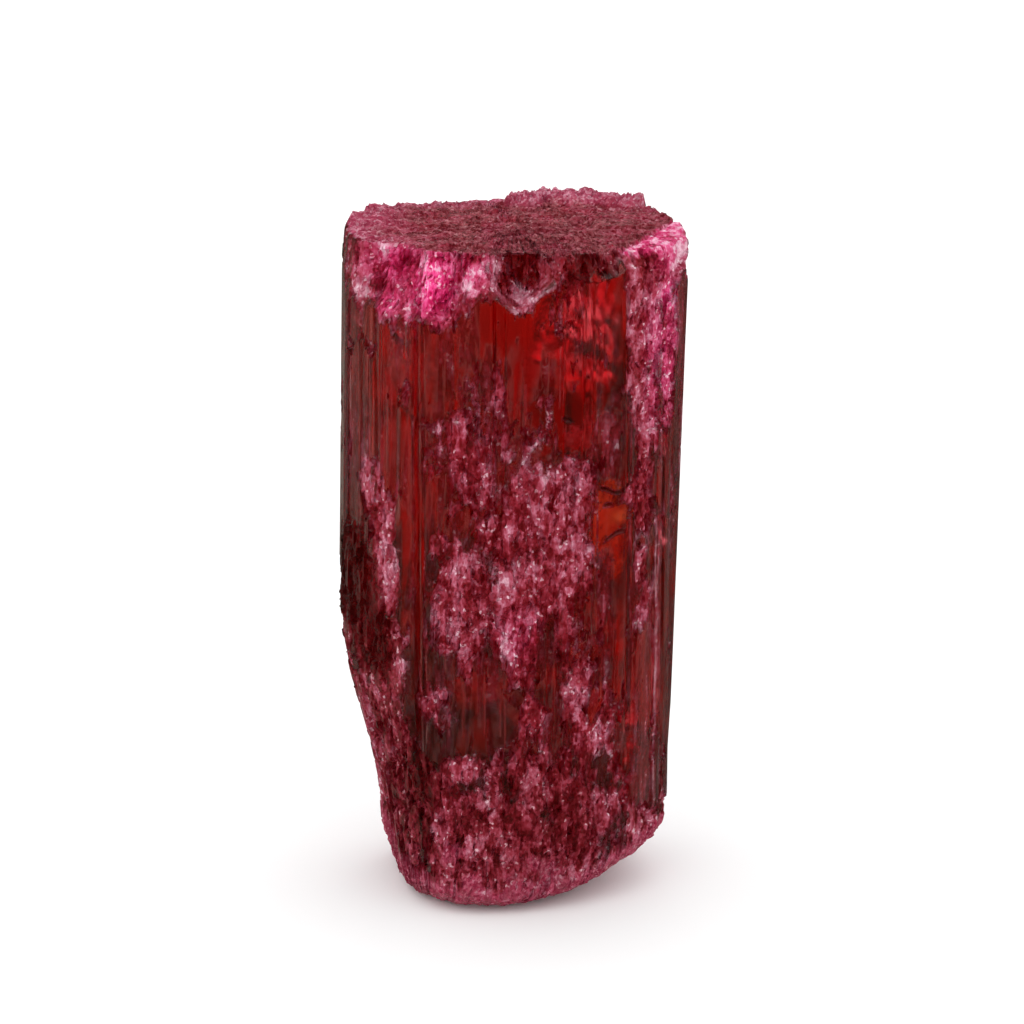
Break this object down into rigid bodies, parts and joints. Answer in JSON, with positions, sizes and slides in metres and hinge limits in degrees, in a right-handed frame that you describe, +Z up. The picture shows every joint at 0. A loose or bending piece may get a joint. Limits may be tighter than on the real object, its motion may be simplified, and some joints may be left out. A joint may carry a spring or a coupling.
{
  "type": "tourmaline crystal",
  "caption": "Upright red tourmaline crystal: a striated, rounded three-sided prism with a flat sugary top, etched faces and a small flat foot to stand on.",
  "frame": {"origin": "centre of the underside of the bounding box, on the small natural flat that the crystal stands on", "axes": "+Z up along the prism, -Y out of the chipped and etched front, +X to the broken right shoulder"},
  "size_m": [0.0256, 0.0192, 0.051],
  "materials": {
    "rubellite": "clear deep red crystal, glossy on the grown faces, frosted where it is etched and sugary at its top and foot"
  },
  "bodies": {
    "root": {"tourmaline_crystal": "rubellite"}
  },
  "joints": []
}
